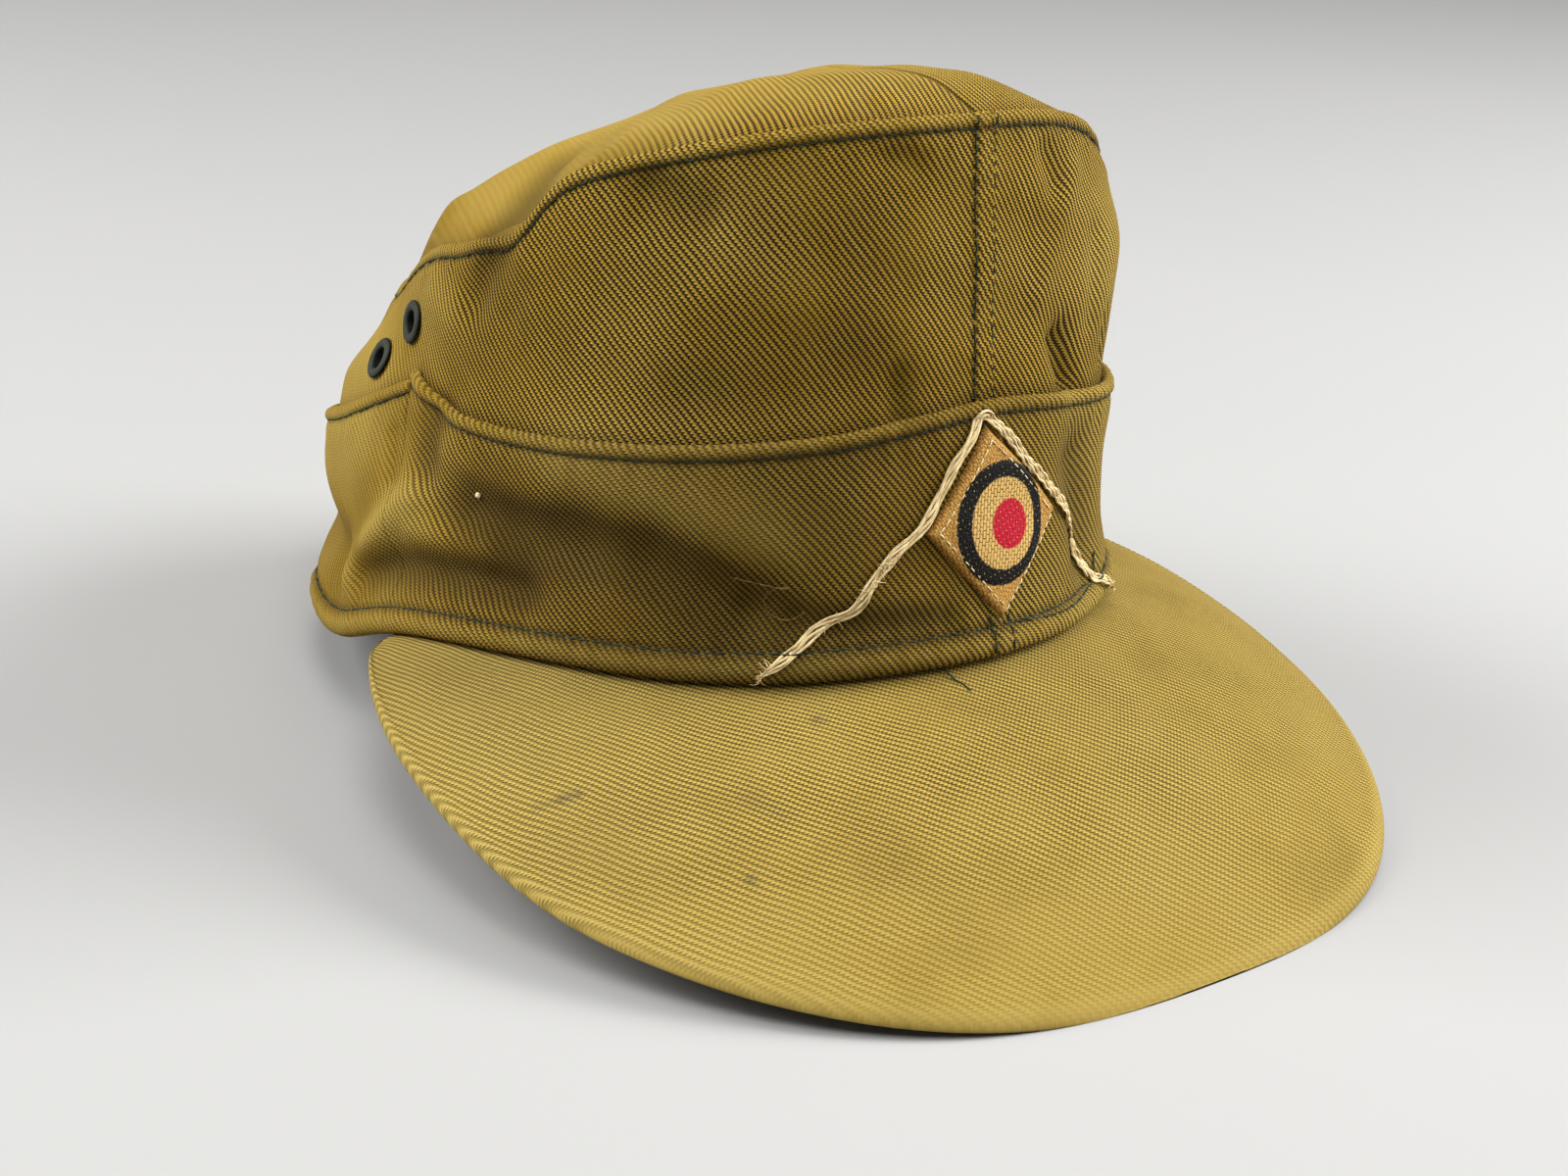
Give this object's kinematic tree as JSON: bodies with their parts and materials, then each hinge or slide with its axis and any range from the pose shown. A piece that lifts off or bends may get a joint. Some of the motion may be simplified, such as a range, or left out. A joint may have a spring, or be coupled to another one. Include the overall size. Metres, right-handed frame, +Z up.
{
  "type": "tropical field cap",
  "caption": "Soft olive twill field cap with a domed crown, sewn-down turn-up flap, long cloth visor, woven cockade patch under a braid chevron and side vent eyelets.",
  "frame": {"origin": "on the floor, under the middle of the cap's bounding box, with the cap resting on its visor tip and the back of its rim", "axes": "+Z up, -Y toward the front of the cap and its visor, -X toward the wearer's right"},
  "size_m": [0.2184, 0.2664, 0.1519],
  "materials": {
    "twill": "matte mustard-olive cotton twill",
    "visor_twill": "matte sun-faded cotton twill over a stiffener",
    "patch": "woven tan patch with a ring roundel",
    "braid": "ivory soutache of laid cotton strands",
    "eyelet": "blackened, worn satin"
  },
  "bodies": {
    "root": {"crown_top_right": "twill", "crown_top_left": "twill", "crown_side_right": "twill", "crown_side_left": "twill", "flap_front_right": "twill", "flap_front_left": "twill", "flap_rear": "twill", "visor": "visor_twill", "cockade_patch": "patch", "soutache_braid": "braid", "eyelet_right_front": "eyelet", "eyelet_right_rear": "eyelet", "eyelet_left_front": "eyelet", "eyelet_left_rear": "eyelet"}
  },
  "joints": []
}
